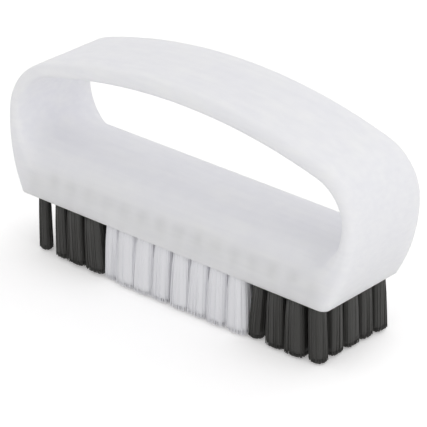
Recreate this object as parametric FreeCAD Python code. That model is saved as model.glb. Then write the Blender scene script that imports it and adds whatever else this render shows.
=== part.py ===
import FreeCAD, Part
import math
import os

# Nail brush with a hand loop, in millimetres.
# X runs along the brush, Y across it and Z up. The origin is in the middle of the plane that
# the trimmed bristle tips stand on, so the underside of the plastic body is at free_length.
# The body is one moulding: a flat base whose ends turn up into a wide strap for the hand.
# Eighty bristle tufts are folded over flat metal anchors and driven into blind holes in the base.

# Driving dimensions of the moulded body
underside_length = 90.0
underside_width = 28.6
top_width = 25.2
end_swell = 5.2
swell_height = 19.8
shoulder_radius = 13.8
crest_rise = 5.7
end_wall_thickness = 3.2
strap_thickness = 3.9
strap_crown = 0.5
base_edge_height = 4.2
base_crown = 8.3
outer_edge_round = 1.8
inner_edge_round = 1.2

# Driving dimensions of the bristle field
tuft_columns = 16
tuft_rows = 5
black_columns_each_end = 4
end_margin = 4.5
side_margin = 3.5
hole_diameter = 3.6
hole_depth = 5.5

# Driving dimensions of one tuft and its anchor
free_length = 15.0
spread_gap = 0.3
tip_inset = 1.0
tip_height = 1.8
root_clearance = 0.05
fold_height = 0.8
anchor_height = 1.4
anchor_thickness = 0.4
anchor_clearance = 0.02

# How far every cutting tool runs past the surface that it cuts
overrun = 2.0

# Largest shares of the thinnest wall that the rounds on its two edges may take
outer_round_share = 0.6
inner_round_share = 0.4

# How full the crowns are: 2 is a parabola, and a higher power is flatter on top with steeper
# sides. The strap bulges a little towards the fingers, and the base is a full cushion.
strap_crown_power = 2
base_crown_power = 6

# Counts that set how finely rounded forms are built up. The repeated tufts and their holes
# are eight-sided, which keeps eighty of each light.
round_steps = 3
crown_steps = 4
tuft_sides = 8

# Values worked out from the sizes above
body_height = swell_height + shoulder_radius + crest_rise
side_slope = (underside_width - top_width) / 2 / body_height
half_width = underside_width / 2
widest = underside_length / 2 + end_swell
thinnest_wall = min(end_wall_thickness, strap_thickness)
swell_radius = (end_swell ** 2 + swell_height ** 2) / (2 * end_swell)
column_pitch = (underside_length - 2 * end_margin) / (tuft_columns - 1)
row_pitch = (underside_width - 2 * side_margin) / (tuft_rows - 1)
tuft_spread = min(column_pitch, row_pitch) - spread_gap


def vec(x, y, z):
    return FreeCAD.Vector(x, y, z)


def mirrored(point):
    """The same point on the other end of the brush."""
    return vec(-point.x, point.y, point.z)


def line(start, end):
    return Part.LineSegment(start, end).toShape()


def arc(start, middle, end):
    return Part.Arc(start, middle, end).toShape()


def on_circle(centre, radius, angle):
    return vec(centre.x + radius * math.cos(angle), 0, centre.z + radius * math.sin(angle))


def arch(wall_inset, crest_inset):
    """Upper right quarter of the loop's outline: a shoulder arc and the arc over the top.

    It lies inside the body's own outline by wall_inset at the widest point and by crest_inset
    at the crest. Returns the widest point of the end wall, the middle of the shoulder arc, the
    point where the shoulder meets the top arc, and the crest, above the underside."""
    shoulder = vec(widest - shoulder_radius, 0, swell_height)
    radius = shoulder_radius - wall_inset
    rise = body_height - crest_inset - swell_height
    top_radius = (shoulder.x ** 2 + rise ** 2 - radius ** 2) / (2 * (rise - radius))
    top_centre = vec(0, 0, swell_height + rise - top_radius)
    turn = math.atan2(shoulder.z - top_centre.z, shoulder.x)
    wall = on_circle(shoulder, radius, 0)
    middle = on_circle(shoulder, radius, turn / 2)
    join = on_circle(shoulder, radius, turn)
    crest = on_circle(top_centre, top_radius, math.pi / 2)
    return wall, middle, join, crest


def over_the_top(wall, middle, join, crest):
    """The arcs over the loop, from the right end wall to the left one."""
    return [arc(wall, middle, join), arc(join, crest, mirrored(join)),
            arc(mirrored(join), mirrored(middle), mirrored(wall))]


def outer_outline(inset):
    """Outline of the whole body. It runs on below the underside, where it is cut flat."""
    wall, middle, join, crest = arch(inset, inset)
    swell_centre = vec(widest - swell_radius, 0, swell_height)
    radius = swell_radius - inset
    low = -math.asin((swell_height + overrun) / radius)
    foot = on_circle(swell_centre, radius, low)
    flank = on_circle(swell_centre, radius, low / 2)
    return Part.Wire([arc(foot, flank, wall)] + over_the_top(wall, middle, join, crest)
                     + [arc(mirrored(wall), mirrored(flank), mirrored(foot)),
                        line(mirrored(foot), foot)])


def opening_outline(strap_bulge, base_bulge, flare):
    """Outline of the hand opening: a flat floor, round corners and the inside of the arch.

    Strap and base are thicker here by their bulges, and thinner by the flare of the edges."""
    floor = base_edge_height + base_bulge - flare
    wall, middle, join, crest = arch(end_wall_thickness + strap_bulge - flare,
                                     strap_thickness + strap_bulge - flare)
    corner_radius = swell_height - floor
    corner_centre = vec(wall.x - corner_radius, 0, swell_height)
    corner = on_circle(corner_centre, corner_radius, -math.pi / 4)
    heel = on_circle(corner_centre, corner_radius, -math.pi / 2)
    return Part.Wire([arc(heel, corner, wall)] + over_the_top(wall, middle, join, crest)
                     + [arc(mirrored(wall), mirrored(corner), mirrored(heel)),
                        line(mirrored(heel), heel)])


def tilted(wire, offset, share):
    """Move an outline to y = offset and lean it with the side faces, which draw in upwards.

    share is 1 on the back face, -1 on the front face and 0 in the middle."""
    shear = FreeCAD.Matrix()
    shear.A23 = -side_slope * share
    shear.A24 = offset
    return wire.transformGeometry(shear)


def crown_share(depth, power):
    """1 in the middle of the width and 0 at the side faces, depth measured from a side face."""
    across = (half_width - depth) / half_width
    return 1 - across ** power


def round_profile(radius):
    """Steps over a rounded edge: depth in from the side face and inset from the wall face."""
    steps = []
    for step in range(round_steps + 1):
        angle = step * math.pi / 2 / round_steps
        steps.append((radius * (1 - math.cos(angle)), radius * (1 - math.sin(angle))))
    return steps


def body_blank():
    """Solid outer form, with both long outer edges rounded over."""
    round_radius = min(outer_edge_round, thinnest_wall * outer_round_share)
    sections = []
    for depth, inset in round_profile(round_radius):
        sections.append((depth, outer_outline(inset)))
    front = [tilted(wire, depth - half_width, -1) for depth, wire in sections]
    back = [tilted(wire, half_width - depth, 1) for depth, wire in reversed(sections)]
    return Part.makeLoft(front + back, True, True)


def hand_opening():
    """Cutter for the hand opening. It is narrowest in the middle, so that the base and the
    strap are crowned, and it flares at both side faces, so that their edges are rounded."""
    round_radius = min(inner_edge_round, thinnest_wall * inner_round_share)
    sections = [(-overrun, 1, round_radius)]
    for depth, flare in round_profile(round_radius):
        sections.append((depth, 1, flare))
    for step in range(1, crown_steps + 1):
        share = math.sqrt(1 - step / crown_steps)
        depth = half_width - (half_width - round_radius) * share
        sections.append((depth, share, 0))
    front, back = [], []
    for depth, share, flare in sections:
        within = max(depth, 0)
        outline = opening_outline(strap_crown * crown_share(within, strap_crown_power),
                                  base_crown * crown_share(within, base_crown_power), flare)
        front.append(tilted(outline, depth - half_width, -share))
        back.append(tilted(outline, half_width - depth, share))
    return Part.makeLoft(front + back[-2::-1], True, True)


def tuft_places():
    """Root centres of one column, then column by column, from -X to +X and front to back."""
    columns = []
    for column in range(tuft_columns):
        x = (column - (tuft_columns - 1) / 2) * column_pitch
        columns.append([(x, (row - (tuft_rows - 1) / 2) * row_pitch) for row in range(tuft_rows)])
    return columns


def ring(x, y, z, across_flats):
    """Corners of a level polygon that stands for a round outline."""
    points = []
    for side in range(tuft_sides):
        angle = (side + 0.5) * 2 * math.pi / tuft_sides
        radius = across_flats / 2 / math.cos(math.pi / tuft_sides)
        points.append(vec(x + radius * math.cos(angle), y + radius * math.sin(angle), z))
    return points


def faceted(rings):
    """Solid with flat faces through a row of rings, each above the one before."""
    faces = []
    for low, high in zip(rings, rings[1:]):
        for side in range(len(low)):
            after = (side + 1) % len(low)
            corners = [low[side], low[after], high[after], high[side], low[side]]
            faces.append(Part.Face(Part.makePolygon(corners)))
    for cap in (rings[0], rings[-1]):
        faces.append(Part.Face(Part.makePolygon(cap + cap[:1])))
    return Part.Solid(Part.Shell(faces))


def make_body():
    """Blank less the hand opening, cut flat underneath and bored for the tufts."""
    solid = body_blank().cut(hand_opening())
    below = Part.makeBox(4 * widest, 4 * half_width, 2 * overrun,
                         vec(-2 * widest, -2 * half_width, -2 * overrun))
    solid = solid.cut(below)
    holes = []
    for column in tuft_places():
        for x, y in column:
            holes.append(faceted([ring(x, y, -overrun, hole_diameter),
                                  ring(x, y, hole_depth, hole_diameter)]))
    solid = solid.cut(holes)
    solid.translate(vec(0, 0, free_length))
    return solid.Solids[0]


def anchor_floor():
    """Height of an anchor's lower edge. The fold of the tuft goes over its upper edge."""
    return free_length + hole_depth - root_clearance - fold_height - anchor_height


def make_tuft(x, y):
    """One tuft: squeezed in its hole, spreading below it, and rounded off at the trimmed tip."""
    root = hole_diameter - 2 * root_clearance
    tuft = faceted([ring(x, y, 0, tuft_spread - 2 * tip_inset),
                    ring(x, y, tip_height, tuft_spread),
                    ring(x, y, free_length, root),
                    ring(x, y, free_length + hole_depth - root_clearance, root)])
    width = anchor_thickness + 2 * anchor_clearance
    slot = Part.makeBox(2 * hole_diameter, width, anchor_height + 2 * anchor_clearance,
                        vec(x - hole_diameter, y - width / 2, anchor_floor() - anchor_clearance))
    return tuft.cut(slot)


def make_anchor(x, y):
    """Flat strip of wire from wall to wall of the hole, inside the fold of its tuft."""
    length = hole_diameter - 2 * anchor_clearance
    return Part.makeBox(length, anchor_thickness, anchor_height,
                        vec(x - length / 2, y - anchor_thickness / 2, anchor_floor()))


def column_names():
    """Node name of each column of tufts, from -X to +X."""
    names = []
    for column in range(tuft_columns):
        right = column - (tuft_columns - black_columns_each_end)
        if column < black_columns_each_end:
            names.append("black_tufts_left_%d" % (column + 1))
        elif right >= 0:
            names.append("black_tufts_right_%d" % (right + 1))
        else:
            names.append("white_tufts_%d" % (column - black_columns_each_end + 1))
    return names


def make_parts():
    parts = {"handle_body": make_body()}
    for number, (name, places) in enumerate(zip(column_names(), tuft_places()), 1):
        parts[name] = Part.makeCompound([make_tuft(x, y) for x, y in places])
        parts["anchors_%02d" % number] = Part.makeCompound([make_anchor(x, y) for x, y in places])
    return parts


os.makedirs("parts", exist_ok=True)
for node, shape in make_parts().items():
    shape.exportStep("parts/%s.step" % node)
    print(node, len(shape.Solids), "solids, volume", round(shape.Volume, 1))
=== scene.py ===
import math
import random

import bmesh
import bpy
from mathutils import Matrix, Vector


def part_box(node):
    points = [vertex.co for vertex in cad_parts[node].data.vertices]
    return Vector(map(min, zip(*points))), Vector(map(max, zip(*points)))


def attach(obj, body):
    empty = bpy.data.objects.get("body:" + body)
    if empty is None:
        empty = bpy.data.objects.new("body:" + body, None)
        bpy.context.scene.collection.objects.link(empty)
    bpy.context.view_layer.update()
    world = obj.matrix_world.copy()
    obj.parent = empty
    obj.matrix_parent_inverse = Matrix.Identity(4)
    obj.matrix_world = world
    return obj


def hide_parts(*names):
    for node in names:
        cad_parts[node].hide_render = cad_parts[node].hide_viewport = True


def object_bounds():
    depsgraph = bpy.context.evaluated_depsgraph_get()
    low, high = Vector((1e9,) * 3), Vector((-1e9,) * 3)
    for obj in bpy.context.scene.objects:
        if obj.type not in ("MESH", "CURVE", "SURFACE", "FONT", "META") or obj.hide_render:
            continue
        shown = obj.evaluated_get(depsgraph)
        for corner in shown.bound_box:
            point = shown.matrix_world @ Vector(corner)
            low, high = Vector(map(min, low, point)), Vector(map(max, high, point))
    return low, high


# Looks of a nail brush with a moulded hand loop. Everything is in metres, in the frame of the
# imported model: X along the brush, Y across it, Z up, with the bristle tips at the height zero.

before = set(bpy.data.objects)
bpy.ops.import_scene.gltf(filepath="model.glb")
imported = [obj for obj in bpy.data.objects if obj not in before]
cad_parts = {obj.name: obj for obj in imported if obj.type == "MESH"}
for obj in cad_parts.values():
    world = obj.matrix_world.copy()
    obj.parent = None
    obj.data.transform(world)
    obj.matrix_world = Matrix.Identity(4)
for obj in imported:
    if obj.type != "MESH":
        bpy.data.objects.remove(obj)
cad_low, cad_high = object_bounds()
body_low, body_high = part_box("handle_body")
MM = 0.001

# Sizes of the moulded body that the frame doesn't give
foot_half_length = 45.0 * MM
top_width = 25.2 * MM
swell_height = 19.8 * MM
shoulder_radius = 13.8 * MM
end_wall_thickness = 3.2 * MM
strap_thickness = 3.9 * MM
strap_crown = 0.5 * MM
base_edge_height = 4.2 * MM
base_crown = 8.3 * MM
outer_edge_round = 1.8 * MM
inner_edge_round = 1.2 * MM
foot_edge_round = 0.35 * MM

# How full the crowns are: 2 is a parabola, and a higher power is flatter with steeper sides
strap_crown_power = 2
base_crown_power = 6

# How finely the body is divided
steps_along_foot = 24
steps_round_corner = 20
steps_round_shoulder = 20
steps_over_top = 24
steps_over_edge_round = 7
steps_across_width = 24
steps_round_foot_edge = 3
side_face_shares = (0.08, 0.36, 0.64, 0.92)
crease_angle = math.radians(32)

# Sizes of the bristle field
tuft_rows = 5
black_columns_each_end = 4
hole_diameter = 3.6 * MM
hole_depth = 5.5 * MM
hole_sides = 32
anchor_thickness = 0.4 * MM

# Sizes of one tuft and its filaments. A tuft widens from its root to its spread at the tips,
# fast at first, and grows square there against its neighbours: power 2 would leave it round.
filaments_per_tuft = 210
filament_radius = 0.105 * MM
filament_sides = 5
filament_steps = 4
root_inset = 1.5 * filament_radius
root_radius = hole_diameter / 2 - root_inset
thin_root_radius = 1.08 * MM
share_of_hole_filled = 0.6
opening_power = 0.2
square_power = 5
tip_rounding = 0.75 * MM
uneven_trim = 0.25 * MM
tip_clearance = 0.02 * MM

# How far a filament may stray at its tip, along X and along Y
stray = {"black": 0.12 * MM, "white": 0.2 * MM}

# How far apart the random seeds of two columns lie, for the tufts' habits and in the tree
habit_seed_step = 100
tree_seed_step = 10

# The dense core of a tuft, just inside its outer filaments
core_share = 0.97
core_short = 0.5 * MM
core_sides = 20
core_steps = 16

# Ranges in millimetres for a tuft's lean at its tips along X and Y and for its spread there,
# and the range of how square it grows
lean_along = (0.1, 0.7)
lean_across = (0.0, 0.2)
spread_range = {"black": (2.6, 2.75), "white": (2.8, 2.95)}
squareness_range = (0.85, 1.0)

# A tuft with a spread under this many millimetres stands free, and stays nearly round
free_spread = 2.2
free_squareness = 0.2

# Lean along X and Y and spread, in millimetres, of the tufts that the photo shows to stand in
# their own way: the front tufts by column, the tufts of the right end by row, and the second
# tuft of the left end
front_habits = {0: (0.6, 0.6, 1.5), 1: (1.6, -0.1, 2.0), 2: (1.3, 0.3, 2.7), 3: (1.7, 0.4, 2.8),
                4: (0.9, 0.3, 2.25), 11: (1.1, 0.0, 2.9), 12: (-0.7, 0.3, 2.0),
                13: (0.8, 0.3, 2.6), 14: (0.8, 0.4, 2.75), 15: (0.9, 0.6, 2.1)}
end_habits = {1: (0.5, 0.5, 2.3), 2: (0.5, 0.8, 2.5), 3: (0.6, 0.7, 2.4), 4: (1.0, 0.4, 2.4)}
second_left_habit = (2.1, 0.3, 1.5)

# Thin tufts by column and row, and how many millimetres each stands off its hole's middle
# along X
thin_tufts = {(0, 0): 0.4, (0, 1): 0.4, (1, 0): 0.6, (4, 0): 0.6, (12, 0): 0.6}

# By how many millimetres the front tufts of these columns end short of the others
short_columns = {1: 0.3, 2: 0.3, 3: 0.3}

# Points of a mesh that are closer than this are merged, and a shorter length counts as this
# much where something is divided by it
smallest_length = 0.001 * MM

# Studio: the floor and the air as the object sees them, and the lamps' places and powers
floor_half_side = 3.0
floor_paper = 0.85
floor_glow = 0.3
ambient_light = 0.68
lamp_size = 0.5
lamps = {"front_softbox": ((0.0, -0.80, 0.45), 0.5),
         "back_softbox": ((0.0, 0.60, 0.70), 1.15),
         "right_softbox": ((0.85, -0.20, 0.12), 1.45)}


class Wire:
    """One output of a node, whose arithmetic in Python adds Math nodes to its tree."""

    def __init__(self, net, socket):
        self.net = net
        self.socket = socket

    def beside(self, name):
        """Another output of the same node."""
        return Wire(self.net, self.socket.node.outputs[name])

    def __add__(self, other):
        return self.net.math("ADD", self, other)

    def __sub__(self, other):
        return self.net.math("SUBTRACT", self, other)

    def __rsub__(self, other):
        return self.net.math("SUBTRACT", other, self)

    def __mul__(self, other):
        return self.net.math("MULTIPLY", self, other)

    def __truediv__(self, other):
        return self.net.math("DIVIDE", self, other)

    def __rtruediv__(self, other):
        return self.net.math("DIVIDE", other, self)

    def __pow__(self, other):
        return self.net.math("POWER", self, other)

    __radd__ = __add__
    __rmul__ = __mul__


class Net:
    """Builds one node tree."""

    def __init__(self, tree):
        self.tree = tree
        tree.nodes.clear()

    def add(self, kind, settings=None, sockets=None, output=None):
        """Add a node: first its settings, then the value or links of each socket, by its name
        or number. The wire that comes back is from the named output, or else the first one."""
        node = self.tree.nodes.new(kind)
        for name, value in (settings or {}).items():
            setattr(node, name, value)
        for name, value in (sockets or {}).items():
            if isinstance(name, int):
                self.fill(node.inputs[name], value)
            else:
                self.fill(next(s for s in node.inputs if s.name == name and s.enabled), value)
        for socket in node.outputs:
            if socket.enabled and output in (None, socket.name):
                return Wire(self, socket)

    def fill(self, socket, value):
        """Give a socket a value, a wire, or a list of wires."""
        if isinstance(value, list):
            for wire in value:
                self.fill(socket, wire)
        elif isinstance(value, Wire):
            self.tree.links.new(value.socket, socket)
        else:
            socket.default_value = value

    def math(self, operation, *values):
        return self.add("ShaderNodeMath", {"operation": operation}, dict(enumerate(values)))

    def vector_math(self, operation, *values):
        settings = {"operation": operation}
        return self.add("ShaderNodeVectorMath", settings, dict(enumerate(values)))

    def scaled(self, vector, factor):
        settings = {"operation": "SCALE"}
        return self.add("ShaderNodeVectorMath", settings, {"Vector": vector, "Scale": factor})

    def along_axes(self, vector):
        x = self.add("ShaderNodeSeparateXYZ", None, {0: vector})
        return x, x.beside("Y"), x.beside("Z")

    def vector(self, x, y, z):
        return self.add("ShaderNodeCombineXYZ", None, {"X": x, "Y": y, "Z": z})

    def mixed(self, factor, first, second):
        settings = {"data_type": "RGBA"}
        return self.add("ShaderNodeMix", settings, {"Factor": factor, "A": first, "B": second})


class Geometry(Net):
    """A Geometry Nodes tree with named inputs, one of them the material of what it makes."""

    def __init__(self, name, inputs):
        tree = bpy.data.node_groups.new(name, "GeometryNodeTree")
        super().__init__(tree)
        tree.interface.new_socket("Geometry", in_out="INPUT", socket_type="NodeSocketGeometry")
        for label, kind in {**inputs, "Material": "Material"}.items():
            tree.interface.new_socket(label, in_out="INPUT", socket_type="NodeSocket" + kind)
        tree.interface.new_socket("Geometry", in_out="OUTPUT", socket_type="NodeSocketGeometry")
        self.inlet = tree.nodes.new("NodeGroupInput")

    def get(self, name):
        return Wire(self, self.inlet.outputs[name])

    def attribute(self, name, kind="FLOAT"):
        settings = {"data_type": kind}
        return self.add("GeometryNodeInputNamedAttribute", settings, {"Name": name}, "Attribute")

    def store(self, geometry, name, value, kind="FLOAT"):
        settings = {"data_type": kind, "domain": "POINT"}
        sockets = {"Geometry": geometry, "Name": name, "Value": value}
        return self.add("GeometryNodeStoreNamedAttribute", settings, sockets)

    def random(self, low, high, seed, kind="FLOAT"):
        settings = {"data_type": kind}
        return self.add("FunctionNodeRandomValue", settings,
                        {"Min": low, "Max": high, "Seed": seed}, "Value")

    def finish(self, geometry):
        geometry = self.add("GeometryNodeRealizeInstances", None, {"Geometry": geometry})
        geometry = self.add("GeometryNodeSetMaterial", None,
                            {"Geometry": geometry, "Material": self.get("Material")})
        self.add("NodeGroupOutput", None, {"Geometry": geometry})

    def apply(self, piece, **values):
        """Run the tree on a piece with these inputs, and keep the result as its plain mesh."""
        modifier = piece.modifiers.new(self.tree.name, "NODES")
        modifier.node_group = self.tree
        for item in self.tree.interface.items_tree:
            key = item.name.lower().replace(" ", "_")
            if item.in_out == "INPUT" and key in values:
                modifier[item.identifier] = values[key]
        settle(piece)


def settle(piece):
    """Replace a piece's mesh by what its modifiers make of it, and remove the modifiers."""
    bpy.context.view_layer.update()
    drawn = piece.evaluated_get(bpy.context.evaluated_depsgraph_get())
    mesh = bpy.data.meshes.new_from_object(drawn)
    piece.modifiers.clear()
    piece.data = mesh
    mesh.name = piece.name


def new_piece(name, mesh):
    piece = bpy.data.objects.new(name, mesh)
    bpy.context.scene.collection.objects.link(piece)
    return piece


# The moulded body: sizes that follow from the frame's boxes and the sizes above

height = body_high.z - body_low.z
underside = body_low.z
half_width = body_high.y
widest = body_high.x
end_swell = widest - foot_half_length
swell_radius = (end_swell ** 2 + swell_height ** 2) / (2 * end_swell)
side_slope = (half_width - top_width / 2) / height
shoulder_x = widest - shoulder_radius


def on_circle(x, z, radius, angle):
    return x + radius * math.cos(angle), z + radius * math.sin(angle)


def evenly(start, end, steps):
    """Values from start towards end, without the end."""
    return [start + (end - start) * step / steps for step in range(steps)]


def over_the_top(wall_inset, crest_inset):
    """Right half of the arch, from its widest point to the crest, as (x, z) pairs."""
    radius = shoulder_radius - wall_inset
    rise = height - crest_inset - swell_height
    top_radius = (shoulder_x ** 2 + rise ** 2 - radius ** 2) / (2 * (rise - radius))
    top_centre = swell_height + rise - top_radius
    turn = math.atan2(swell_height - top_centre, shoulder_x)
    points = []
    for angle in evenly(0, turn, steps_round_shoulder):
        points.append(on_circle(shoulder_x, swell_height, radius, angle))
    for angle in evenly(turn, math.pi / 2, steps_over_top) + [math.pi / 2]:
        points.append(on_circle(0, top_centre, top_radius, angle))
    return points


def both_halves(right):
    """Close an outline whose right half runs from the middle of the foot to the crest."""
    return right + [(-x, z) for x, z in right[-2:0:-1]]


def outer_outline(inset):
    """Outline of the whole body in the side view."""
    radius = swell_radius - inset
    low = -math.asin(swell_height / radius)
    foot = on_circle(widest - swell_radius, swell_height, radius, low)[0]
    right = [(x, 0.0) for x in evenly(0, foot, steps_along_foot)]
    for angle in evenly(low, 0, steps_round_corner):
        right.append(on_circle(widest - swell_radius, swell_height, radius, angle))
    return both_halves(right + over_the_top(inset, inset))


def opening_outline(across, flare):
    """Outline of the hand opening, with as many points as the outer outline. across is 0 in
    the middle of the width and 1 at the side faces, where the edges flare."""
    crown = strap_crown * (1 - across ** strap_crown_power)
    floor = base_edge_height + base_crown * (1 - across ** base_crown_power) - flare
    wall_inset = end_wall_thickness + crown - flare
    crest_inset = strap_thickness + crown - flare
    radius = swell_height - floor
    centre = widest - wall_inset - radius
    right = [(x, floor) for x in evenly(0, centre, steps_along_foot)]
    for angle in evenly(-math.pi / 2, 0, steps_round_corner):
        right.append(on_circle(centre, swell_height, radius, angle))
    return both_halves(right + over_the_top(wall_inset, crest_inset))


def round_steps(radius):
    """Over a rounded edge, the depth in from the side face and the inset from the wall face."""
    angles = evenly(0, math.pi / 2, steps_over_edge_round) + [math.pi / 2]
    return [(radius * (1 - math.cos(a)), radius * (1 - math.sin(a))) for a in angles]


def placed(outline, depth, share):
    """Stand an outline in the body, depth in from the front face and leaning by its share."""
    return [Vector((x, -(half_width - depth) + side_slope * share * z, z + underside))
            for x, z in outline]


def outer_rings():
    """Outlines over the outside, from the front face to the middle of the width."""
    rings = [placed(outer_outline(inset), depth, 1)
             for depth, inset in round_steps(outer_edge_round)]
    for share in evenly(0, 1, steps_across_width // 2)[1:]:
        depth = outer_edge_round + (half_width - outer_edge_round) * share
        rings.append(placed(outer_outline(0), depth, 1 - share))
    return rings


def inner_rings():
    """Outlines over the inside of the loop, from the front face to the middle of the width."""
    rings = []
    for depth, flare in round_steps(inner_edge_round):
        rings.append(placed(opening_outline(1 - depth / half_width, flare), depth, 1))
    for share in evenly(0, 1, steps_across_width // 2)[1:]:
        depth = inner_edge_round + (half_width - inner_edge_round) * share
        rings.append(placed(opening_outline(1 - depth / half_width, 0), depth, 1 - share))
    return rings


def flipped(rings):
    """The same rings on the back half, in the order that goes on from the middle."""
    return [[Vector((p.x, -p.y, p.z)) for p in ring] for ring in reversed(rings)]


def middle_ring(outline):
    return [Vector((x, 0, z + underside)) for x, z in outline]


def between(first, second, shares):
    return [[a.lerp(b, share) for a, b in zip(first, second)] for share in shares]


def body_mesh():
    """Closed skin of the body: rings that run round the loop, over the outside, down the back
    face, over the inside of the loop and back along the front face."""
    outside = outer_rings()
    inside = inner_rings()
    rings = outside + [middle_ring(outer_outline(0))] + flipped(outside)
    back_inside = flipped(inside)
    rings += between(rings[-1], back_inside[-1], side_face_shares)
    rings += back_inside[::-1]
    rings += [middle_ring(opening_outline(0, 0))] + inside[::-1]
    rings += between(rings[-1], rings[0], side_face_shares)
    return skin("moulded_handle", rings)


def skin(name, rings):
    """Quads through closed rings, the last of which meets the first."""
    form = bmesh.new()
    rows = [[form.verts.new(point) for point in ring] for ring in rings]
    for row, after in zip(rows, rows[1:] + rows[:1]):
        for here in range(len(row)):
            there = (here + 1) % len(row)
            form.faces.new((row[here], row[there], after[there], after[here]))
    bmesh.ops.recalc_face_normals(form, faces=form.faces)
    mesh = bpy.data.meshes.new(name)
    form.to_mesh(mesh)
    form.free()
    return mesh


def mark_foot_edge(mesh):
    """Give the edge round the flat underside the full weight for its small round."""
    straight_down = -0.999
    flat = [face for face in mesh.polygons if face.normal.z < straight_down]
    borders = {}
    for face in flat:
        for edge in face.edge_keys:
            borders[edge] = borders.get(edge, 0) + 1
    weights = mesh.attributes.new("bevel_weight_edge", "FLOAT", "EDGE")
    for edge in mesh.edges:
        if borders.get(edge.key) == 1:
            weights.data[edge.index].value = 1


def round_foot_edge(piece):
    modifier = piece.modifiers.new("foot_edge_round", "BEVEL")
    modifier.limit_method = "WEIGHT"
    modifier.width = foot_edge_round
    modifier.segments = steps_round_foot_edge
    settle(piece)


def hole_tree():
    """Bores a grid of blind round holes into a piece from below. The drills' middles are at
    the holes' mouths, so that half of each drill is in the piece."""
    net = Geometry("tuft_holes", {"Columns": "Int", "Rows": "Int", "Length": "Float",
                                  "Width": "Float", "Radius": "Float", "Depth": "Float",
                                  "Height": "Float", "Sides": "Int"})
    grid = net.add("GeometryNodeMeshGrid", None,
                   {"Size X": net.get("Length"), "Size Y": net.get("Width"),
                    "Vertices X": net.get("Columns"), "Vertices Y": net.get("Rows")})
    drill = net.add("GeometryNodeMeshCylinder", None,
                    {"Vertices": net.get("Sides"), "Radius": net.get("Radius"),
                     "Depth": net.get("Depth") * 2})
    drills = net.add("GeometryNodeInstanceOnPoints", None, {"Points": grid, "Instance": drill})
    drills = net.add("GeometryNodeTransform", None,
                     {"Geometry": drills, "Translation": net.vector(0, 0, net.get("Height"))})
    drills = net.add("GeometryNodeRealizeInstances", None, {"Geometry": drills})
    bored = net.add("GeometryNodeMeshBoolean", {"operation": "DIFFERENCE", "solver": "EXACT"},
                    {"Mesh 1": net.get("Geometry"), "Mesh 2": drills})
    bored = net.add("GeometryNodeMergeByDistance", None,
                    {"Geometry": bored, "Distance": smallest_length})
    net.finish(bored)
    return net


def smooth(mesh):
    for face in mesh.polygons:
        face.use_smooth = True


def tuft_grid():
    """Where the tufts stand: column places along X and row places across, from the anchors."""
    columns = []
    for number in range(1, tuft_columns + 1):
        low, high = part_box("anchors_%02d" % number)
        columns.append((low.x + high.x) / 2)
    reach = high.y - anchor_thickness / 2
    rows = [reach * (2 * row / (tuft_rows - 1) - 1) for row in range(tuft_rows)]
    return columns, rows


tuft_columns = sum(1 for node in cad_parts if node.startswith("anchors_"))
column_places, row_places = tuft_grid()


def make_handle():
    piece = new_piece("moulded_handle", body_mesh())
    mark_foot_edge(piece.data)
    round_foot_edge(piece)
    hole_tree().apply(piece, columns=tuft_columns, rows=tuft_rows,
                      length=column_places[-1] - column_places[0],
                      width=row_places[-1] - row_places[0],
                      radius=hole_diameter / 2, depth=hole_depth, height=underside,
                      sides=hole_sides, material=frosted_plastic())
    smooth(piece.data)
    piece.data.set_sharp_from_angle(angle=crease_angle)
    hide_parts("handle_body")
    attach(piece, "root")


# The bristles

def share_below(net, drop):
    """0 down to a hole's mouth and 1 at its tuft's tips, for a drop from the mouth."""
    return net.math("MAXIMUM", drop / net.attribute("reach"), 0.0)


def tuft_shape(net, drop):
    """Radius of a tuft this far below its hole's mouth, how square it has become there, and
    how far its middle has leant."""
    below = share_below(net, drop)
    root = net.attribute("root")
    opened = below ** opening_power
    radius = root + (net.attribute("spread") - root) * opened
    squareness = net.attribute("square") * opened
    return radius, squareness, net.scaled(net.attribute("lean", "FLOAT_VECTOR"), below)


def squared(net, offset, squareness):
    """Push an offset from a tuft's axis out from a round outline towards a rounded square."""
    x, y, _ = net.along_axes(offset)
    length = net.math("MAXIMUM", (x * x + y * y) ** 0.5, smallest_length)
    shares = [net.math("ABSOLUTE", side / length) ** square_power for side in (x, y)]
    stretch = (shares[0] + shares[1]) ** (-1 / square_power)
    return net.scaled(offset, 1 + squareness * (stretch - 1))


def lines_from_points(net, points, steps):
    """A line with this many steps on each point, as separate curves, and how far along its
    line each of their points is."""
    line = net.add("GeometryNodeCurvePrimitiveLine", {"mode": "POINTS"},
                   {"Start": (0, 0, 0), "End": (0, 0, 1)})
    line = net.add("GeometryNodeResampleCurve", {"mode": "COUNT"},
                   {"Curve": line, "Count": steps + 1})
    curves = net.add("GeometryNodeInstanceOnPoints", None, {"Points": points, "Instance": line})
    curves = net.add("GeometryNodeRealizeInstances", None, {"Geometry": curves})
    return curves, net.add("GeometryNodeSplineParameter", None, None, "Factor")


def drop_along(net, along, reach):
    """Drop from the hole's mouth to a point of a line that runs from inside the hole to its
    reach below the mouth."""
    return along * (reach + net.get("Inside")) - net.get("Inside")


def hung(net, curves, shifts, drop):
    """The curves' points, each at its tuft's mouth with all the shifts added, and lower by its
    drop."""
    spot = net.attribute("mouth", "FLOAT_VECTOR")
    for shift in (*shifts, net.vector(0.0, 0.0, 0.0 - drop)):
        spot = net.vector_math("ADD", spot, shift)
    return net.add("GeometryNodeSetPosition", None, {"Geometry": curves, "Position": spot})


def tube(net, curves, sides, radius):
    """Closed tube round each curve, whose radius may change along it."""
    rim = net.add("GeometryNodeCurvePrimitiveCircle", {"mode": "RADIUS"},
                  {"Resolution": sides, "Radius": 1.0})
    return net.add("GeometryNodeCurveToMesh", None,
                   {"Curve": curves, "Profile Curve": rim, "Scale": radius, "Fill Caps": True})


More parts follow.
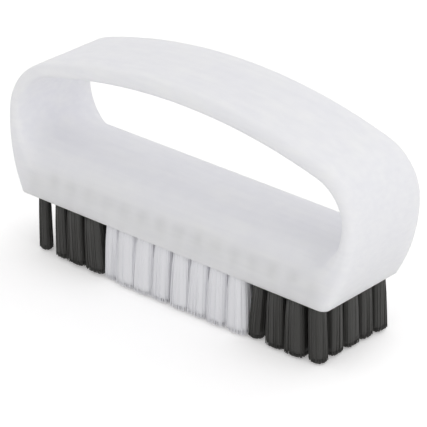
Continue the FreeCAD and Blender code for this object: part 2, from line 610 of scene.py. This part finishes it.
def filaments(net, tufts):
    """A bundle of filaments out of each tuft's point, each trimmed a little differently."""
    points = net.add("GeometryNodeDuplicateElements", {"domain": "POINT"},
                     {"Geometry": tufts, "Amount": net.get("Filaments")})
    number = points.beside("Duplicate Index")
    golden_angle = math.pi * (3 - math.sqrt(5))
    share = net.math("SQRT", (number + 0.5) / net.get("Filaments"))
    angle = number * golden_angle + net.attribute("turn")
    place = net.vector(net.math("COSINE", angle) * share, net.math("SINE", angle) * share, 0.0)
    points = net.store(points, "place", place, "FLOAT_VECTOR")
    points = net.store(points, "share", share)
    astray = net.random((-1, -1, 0), (1, 1, 0), net.get("Seed") + 1, "FLOAT_VECTOR")
    points = net.store(points, "astray", astray, "FLOAT_VECTOR")
    points = net.store(points, "tone", net.random(0.0, 1.0, net.get("Seed") + 2))
    points = net.store(points, "short", net.random(0.0, 1.0, net.get("Seed") + 3))
    curves, along = lines_from_points(net, points, net.get("Steps"))
    reach = (net.attribute("reach") - net.get("Rounding") * net.attribute("share") ** 3
             - net.get("Trim") * net.attribute("short") ** 2)
    drop = drop_along(net, along, reach)
    radius, squareness, lean = tuft_shape(net, drop)
    place = net.scaled(net.attribute("place", "FLOAT_VECTOR"), radius)
    place = squared(net, place, squareness)
    how_far = net.get("Stray") * share_below(net, drop)
    astray = net.scaled(net.attribute("astray", "FLOAT_VECTOR"), how_far)
    curves = hung(net, curves, (place, lean, astray), drop)
    return tube(net, curves, net.get("Sides"), net.get("Filament Radius"))


def core(net, tufts):
    """The dense middle of each tuft, as one rounded form that its outer filaments hide. It is
    made round and then pushed square, each of its points out from its own axis, and the
    thinnest radius keeps its end from closing to a point."""
    thinnest = 0.01 * MM
    curves, along = lines_from_points(net, net.store(tufts, "tone", 0.5), net.get("Core Steps"))
    reach = net.attribute("reach") - net.get("Core Short")
    drop = drop_along(net, along, reach)
    radius, squareness, lean = tuft_shape(net, drop)
    rounded = net.math("MAXIMUM", (reach - drop) / net.get("Rounding"), 0.0) ** (1 / 3)
    share = net.math("MINIMUM", rounded, 1.0) * net.get("Core Share")
    curves = net.store(curves, "squareness", squareness)
    curves = hung(net, curves, (lean,), drop)
    curves = net.store(curves, "axis", net.add("GeometryNodeInputPosition"), "FLOAT_VECTOR")
    round_core = tube(net, curves, net.get("Core Sides"), radius * share + thinnest)
    axis = net.attribute("axis", "FLOAT_VECTOR")
    offset = net.vector_math("SUBTRACT", net.add("GeometryNodeInputPosition"), axis)
    offset = squared(net, offset, net.attribute("squareness"))
    place = net.vector_math("ADD", axis, offset)
    return net.add("GeometryNodeSetPosition", None, {"Geometry": round_core, "Position": place})


def bristle_tree():
    """Grows a tuft out of each point, as the point's attributes say: the tuft's radius at its
    root, its spread, squareness and lean at its tips, and its reach below the hole's mouth."""
    net = Geometry("bristle_tufts",
                   {"Filaments": "Int", "Inside": "Float", "Filament Radius": "Float",
                    "Rounding": "Float", "Stray": "Float", "Trim": "Float", "Sides": "Int",
                    "Steps": "Int", "Core Share": "Float", "Core Short": "Float",
                    "Core Sides": "Int", "Core Steps": "Int", "Seed": "Int"})
    tufts = net.store(net.get("Geometry"), "mouth", net.add("GeometryNodeInputPosition"),
                      "FLOAT_VECTOR")
    tufts = net.store(tufts, "turn", net.random(0.0, math.tau, net.get("Seed")))
    both = [core(net, tufts), filaments(net, tufts)]
    net.finish(net.add("GeometryNodeJoinGeometry", None, {"Geometry": both}))
    return net


def tuft_points(name, places):
    """One point at each tuft's mouth, with the tuft's habits as attributes."""
    mesh = bpy.data.meshes.new(name)
    mesh.from_pydata([tuft["mouth"] for tuft in places], [], [])
    lean = mesh.attributes.new("lean", "FLOAT_VECTOR", "POINT")
    for point, tuft in zip(lean.data, places):
        point.vector = tuft["lean"]
    for label in ("root", "spread", "square", "reach"):
        values = mesh.attributes.new(label, "FLOAT", "POINT")
        for point, tuft in zip(values.data, places):
            point.value = tuft[label]
    return mesh


def tuft_habits(column, row):
    """How one tuft stands: its hole's mouth, its root, its lean, spread and squareness at the
    tips, and its reach."""
    chance = random.Random(habit_seed_step * column + row)
    spread = chance.uniform(*spread_range[bristle_colour(column)])
    habit = (chance.uniform(*lean_along), chance.uniform(*lean_across), spread)
    squareness = chance.uniform(*squareness_range)
    reach = underside - tip_clearance
    if row == 0:
        habit = front_habits.get(column, habit)
        reach -= short_columns.get(column, 0) * MM
    elif column == 0 and row == 1:
        habit = second_left_habit
    elif column == tuft_columns - 1:
        habit = end_habits[row]
    along, across, spread = habit
    if spread < free_spread:
        squareness = free_squareness
    off_middle = thin_tufts.get((column, row), 0) * MM
    return {"mouth": (column_places[column] + off_middle, row_places[row], underside),
            "root": thin_root_radius if (column, row) in thin_tufts else root_radius,
            "lean": Vector((along, across, 0)) * MM, "spread": spread * MM,
            "square": squareness, "reach": reach}


def bristle_colour(column):
    from_end = min(column, tuft_columns - 1 - column)
    return "black" if from_end < black_columns_each_end else "white"


def column_label(column):
    """End of a column's name, counted from -X within its own block of black or white tufts."""
    from_right = column - (tuft_columns - black_columns_each_end)
    if column < black_columns_each_end:
        return "left_%d" % (column + 1)
    if from_right >= 0:
        return "right_%d" % (from_right + 1)
    return "%d" % (column - black_columns_each_end + 1)


def make_bristles():
    finish = {"black": black_nylon(), "white": white_nylon()}
    tree = bristle_tree()
    for column in range(tuft_columns):
        colour, label = bristle_colour(column), column_label(column)
        name = "%s_bristles_%s" % (colour, label)
        places = [tuft_habits(column, row) for row in range(tuft_rows)]
        piece = new_piece(name, tuft_points(name, places))
        tree.apply(piece, filaments=filaments_per_tuft, inside=hole_depth * share_of_hole_filled,
                   filament_radius=filament_radius, rounding=tip_rounding,
                   stray=stray[colour], trim=uneven_trim, sides=filament_sides,
                   steps=filament_steps, core_share=core_share, core_short=core_short,
                   core_sides=core_sides, core_steps=core_steps,
                   seed=column * tree_seed_step, material=finish[colour])
        remove_working_attributes(piece.data)
        smooth(piece.data)
        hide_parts("%s_tufts_%s" % (colour, label))
        colour + "_bristle"
        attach(piece, "root")


def remove_working_attributes(mesh):
    """Of the attributes that the tree works with, leave only tone, which the materials read."""
    for name in ("mouth", "turn", "place", "share", "astray", "short", "lean", "root", "spread",
                 "square", "reach", "squareness", "axis"):
        mesh.attributes.remove(mesh.attributes[name])


# Materials

def material_net(name):
    material = bpy.data.materials.new(name)
    material.use_nodes = True
    return material, Net(material.node_tree)


def surface(net, sockets):
    """Principled shader with these sockets, as the material's surface."""
    shader = net.add("ShaderNodeBsdfPrincipled", None, sockets)
    net.add("ShaderNodeOutputMaterial", None, {"Surface": shader})


def in_millimetres(net):
    """Object coordinates, in which a noise's scale counts waves to the millimetre."""
    place = net.add("ShaderNodeTexCoord", None, None, "Object")
    return net.scaled(place, 1 / MM)


def frosted_plastic():
    """Translucent moulding, with faint streaks along it, a faint mottle and a fine grain."""
    mottle_share = 0.45
    dull, bright = (0.82, 0.82, 0.862, 1), (0.955, 0.955, 0.978, 1)
    material, net = material_net("frosted_plastic")
    place = in_millimetres(net)
    mottle = net.add("ShaderNodeTexNoise", None,
                     {"Vector": place, "Scale": 0.22, "Detail": 3.0, "Roughness": 0.6}, "Fac")
    stretched = net.vector_math("MULTIPLY", place, (0.06, 0.5, 0.9))
    streaks = net.add("ShaderNodeTexNoise", None,
                      {"Vector": stretched, "Scale": 1.0, "Detail": 2.0}, "Fac")
    tone = mottle * mottle_share + streaks * (1 - mottle_share)
    grain = net.add("ShaderNodeTexNoise", None,
                    {"Vector": place, "Scale": 5.0, "Detail": 2.0}, "Fac")
    bump = net.add("ShaderNodeBump", None,
                   {"Strength": 0.12, "Distance": 0.05 * MM, "Height": grain})
    surface(net, {"Base Color": net.mixed(tone, dull, bright), "Roughness": 0.5 + grain * 0.15,
                  "IOR": 1.49, "Specular IOR Level": 0.35, "Subsurface Weight": 1.0,
                  "Subsurface Radius": (1.0, 1.0, 1.0), "Subsurface Scale": 3.4 * MM,
                  "Normal": bump})
    return material


def nylon(name, dark, light, least_roughness, more_roughness):
    """Drawn filament, whose shade and roughness differ a little from one to the next."""
    material, net = material_net(name)
    tone = net.add("ShaderNodeAttribute", {"attribute_name": "tone"}, None, "Fac")
    surface(net, {"Base Color": net.mixed(tone, dark, light), "IOR": 1.5,
                  "Roughness": least_roughness + tone * more_roughness})
    return material


def black_nylon():
    return nylon("black_nylon", (0.026, 0.0255, 0.023, 1), (0.036, 0.035, 0.032, 1), 0.45, 0.1)


def white_nylon():
    return nylon("white_nylon", (0.86, 0.86, 0.89, 1), (0.93, 0.93, 0.955, 1), 0.4, 0.15)


def anchor_metal():
    """Bare flat wire, with fine lines along it from drawing."""
    dull, bright = (0.5, 0.46, 0.36, 1), (0.66, 0.62, 0.52, 1)
    material, net = material_net("anchor_strip")
    place = in_millimetres(net)
    drawn = net.vector_math("MULTIPLY", place, (0.4, 6.0, 6.0))
    lines = net.add("ShaderNodeTexNoise", None, {"Vector": drawn, "Scale": 1.0}, "Fac")
    surface(net, {"Base Color": net.mixed(lines, dull, bright), "Metallic": 1.0,
                  "Roughness": 0.3 + lines * 0.2})
    return material


def dress_anchors():
    metal = anchor_metal()
    for number in range(1, tuft_columns + 1):
        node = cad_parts["anchors_%02d" % number]
        node.data.materials.clear()
        node.data.materials.append(metal)


# Floor, light and camera

def seen_directly(net):
    """1 for rays from the camera, a gloss or a clear body, which see the white background, and
    0 for the others."""
    seen = net.add("ShaderNodeLightPath", None, None, "Is Camera Ray")
    for kind in ("Is Glossy Ray", "Is Transmission Ray"):
        seen = net.math("MAXIMUM", seen, net.add("ShaderNodeLightPath", None, None, kind))
    return seen


def make_floor():
    """Floor that lights the object as pale paper, and is seen as white with the shadow on it."""
    side = floor_half_side
    mesh = bpy.data.meshes.new("studio_floor")
    mesh.from_pydata([(-side, -side, 0), (side, -side, 0), (side, side, 0), (-side, side, 0)],
                     [], [(0, 1, 2, 3)])
    floor = new_piece("studio_floor", mesh)
    material, net = material_net("studio_white")
    seen = seen_directly(net)
    paper = net.add("ShaderNodeBsdfDiffuse", None,
                    {"Color": (floor_paper, floor_paper, floor_paper, 1)})
    shade = net.add("ShaderNodeBsdfDiffuse", None, {"Color": (1.0, 1.0, 1.0, 1)})
    glow = net.add("ShaderNodeEmission", None,
                   {"Color": (1.0, 0.985, 0.98, 1), "Strength": floor_glow})
    lit = net.add("ShaderNodeAddShader", None, {0: shade, 1: glow})
    both = net.add("ShaderNodeMixShader", None, {0: seen, 1: paper, 2: lit})
    net.add("ShaderNodeOutputMaterial", None, {"Surface": both})
    mesh.materials.append(material)


def make_world():
    world = bpy.data.worlds.new("studio_air")
    world.use_nodes = True
    net = Net(world.node_tree)
    strength = seen_directly(net) * (1 - ambient_light) + ambient_light
    air = net.add("ShaderNodeBackground", None, {"Color": (1, 1, 1, 1), "Strength": strength})
    net.add("ShaderNodeOutputWorld", None, {"Surface": air})
    bpy.context.scene.world = world


def soft_lamp(name, place, power):
    """Square lamp at a place, facing the middle of the brush."""
    data = bpy.data.lights.new(name, "AREA")
    data.shape = "SQUARE"
    data.size = lamp_size
    data.energy = power
    lamp = bpy.data.objects.new(name, data)
    bpy.context.scene.collection.objects.link(lamp)
    lamp.location = place
    middle = (cad_low + cad_high) / 2
    lamp.rotation_euler = (Vector(place) - middle).to_track_quat("Z", "Y").to_euler()


def make_camera():
    """Camera of the photograph, from the fit of the body's outlines to it."""
    azimuth = math.radians(37.73)
    elevation = math.radians(24.64)
    roll = math.radians(2.785)
    reference_height = 20 * MM
    reference = Vector((0, 0, underside + reference_height))
    reference_pixel = Vector((209.55, 151.04))
    image_side = 427
    pixels_per_metre = 4385
    distance = 0.6738
    back = Vector((math.sin(azimuth) * math.cos(elevation),
                   -math.cos(azimuth) * math.cos(elevation), math.sin(elevation)))
    level_right = Vector((math.cos(azimuth), math.sin(azimuth), 0))
    level_up = back.cross(level_right)
    right = level_right * math.cos(roll) + level_up * math.sin(roll)
    up = level_up * math.cos(roll) - level_right * math.sin(roll)
    place = reference + back * distance
    middle_pixel = Vector((image_side / 2, image_side / 2))
    off_centre = (middle_pixel - reference_pixel) / pixels_per_metre
    aim = reference + right * off_centre.x - up * off_centre.y
    behind = (place - aim).normalized()
    right = up.cross(behind).normalized()
    up = behind.cross(right)
    data = bpy.data.cameras.new("photo_camera")
    data.sensor_width = 36
    data.lens = pixels_per_metre * distance * data.sensor_width / image_side
    data.clip_start = 0.01
    data.clip_end = 20
    camera = bpy.data.objects.new("photo_camera", data)
    bpy.context.scene.collection.objects.link(camera)
    turned = Matrix((right, up, behind)).transposed().to_4x4()
    camera.matrix_world = Matrix.Translation(place) @ turned
    bpy.context.scene.camera = camera


bpy.context.scene.view_settings.view_transform = "Standard"
make_camera()
make_handle()
make_bristles()
dress_anchors()
make_floor()
make_world()
for lamp_name, (lamp_place, lamp_power) in lamps.items():
    soft_lamp(lamp_name, lamp_place, lamp_power)
